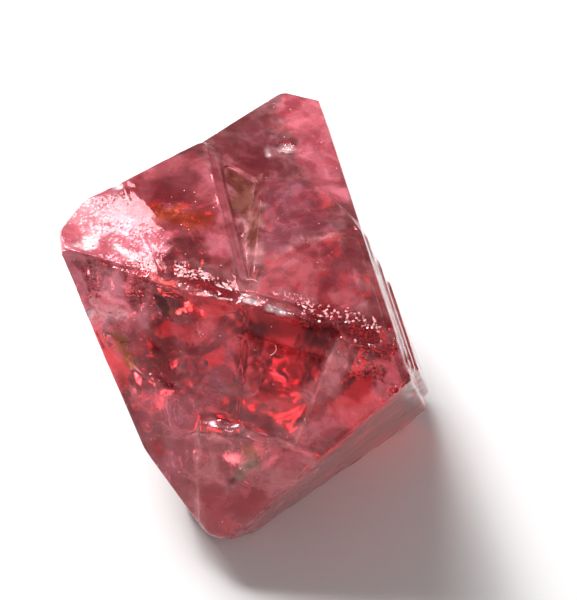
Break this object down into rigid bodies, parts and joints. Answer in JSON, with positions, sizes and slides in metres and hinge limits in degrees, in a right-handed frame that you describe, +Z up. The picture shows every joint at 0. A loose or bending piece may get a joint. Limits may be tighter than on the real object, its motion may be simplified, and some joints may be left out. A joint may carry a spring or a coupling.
{
  "type": "raw spinel crystal",
  "caption": "Rough pinkish-red octahedral gem crystal with stepped growth lobes, a valley and chipped edges, resting on one triangular face.",
  "frame": {"origin": "centre of the crystal's box, on the plane of the triangular face that it rests on", "axes": "+Z up, square to the level top face; +X along the ridge from the left corner to the upper right corner; +Y to the rear"},
  "size_m": [0.007, 0.0076, 0.0059],
  "materials": {
    "spinel": "clear to cloudy pinkish red, glassy growth faces with etch marks, frosted worn edges and fractured veils"
  },
  "bodies": {
    "root": {"spinel_crystal": "spinel"}
  },
  "joints": []
}
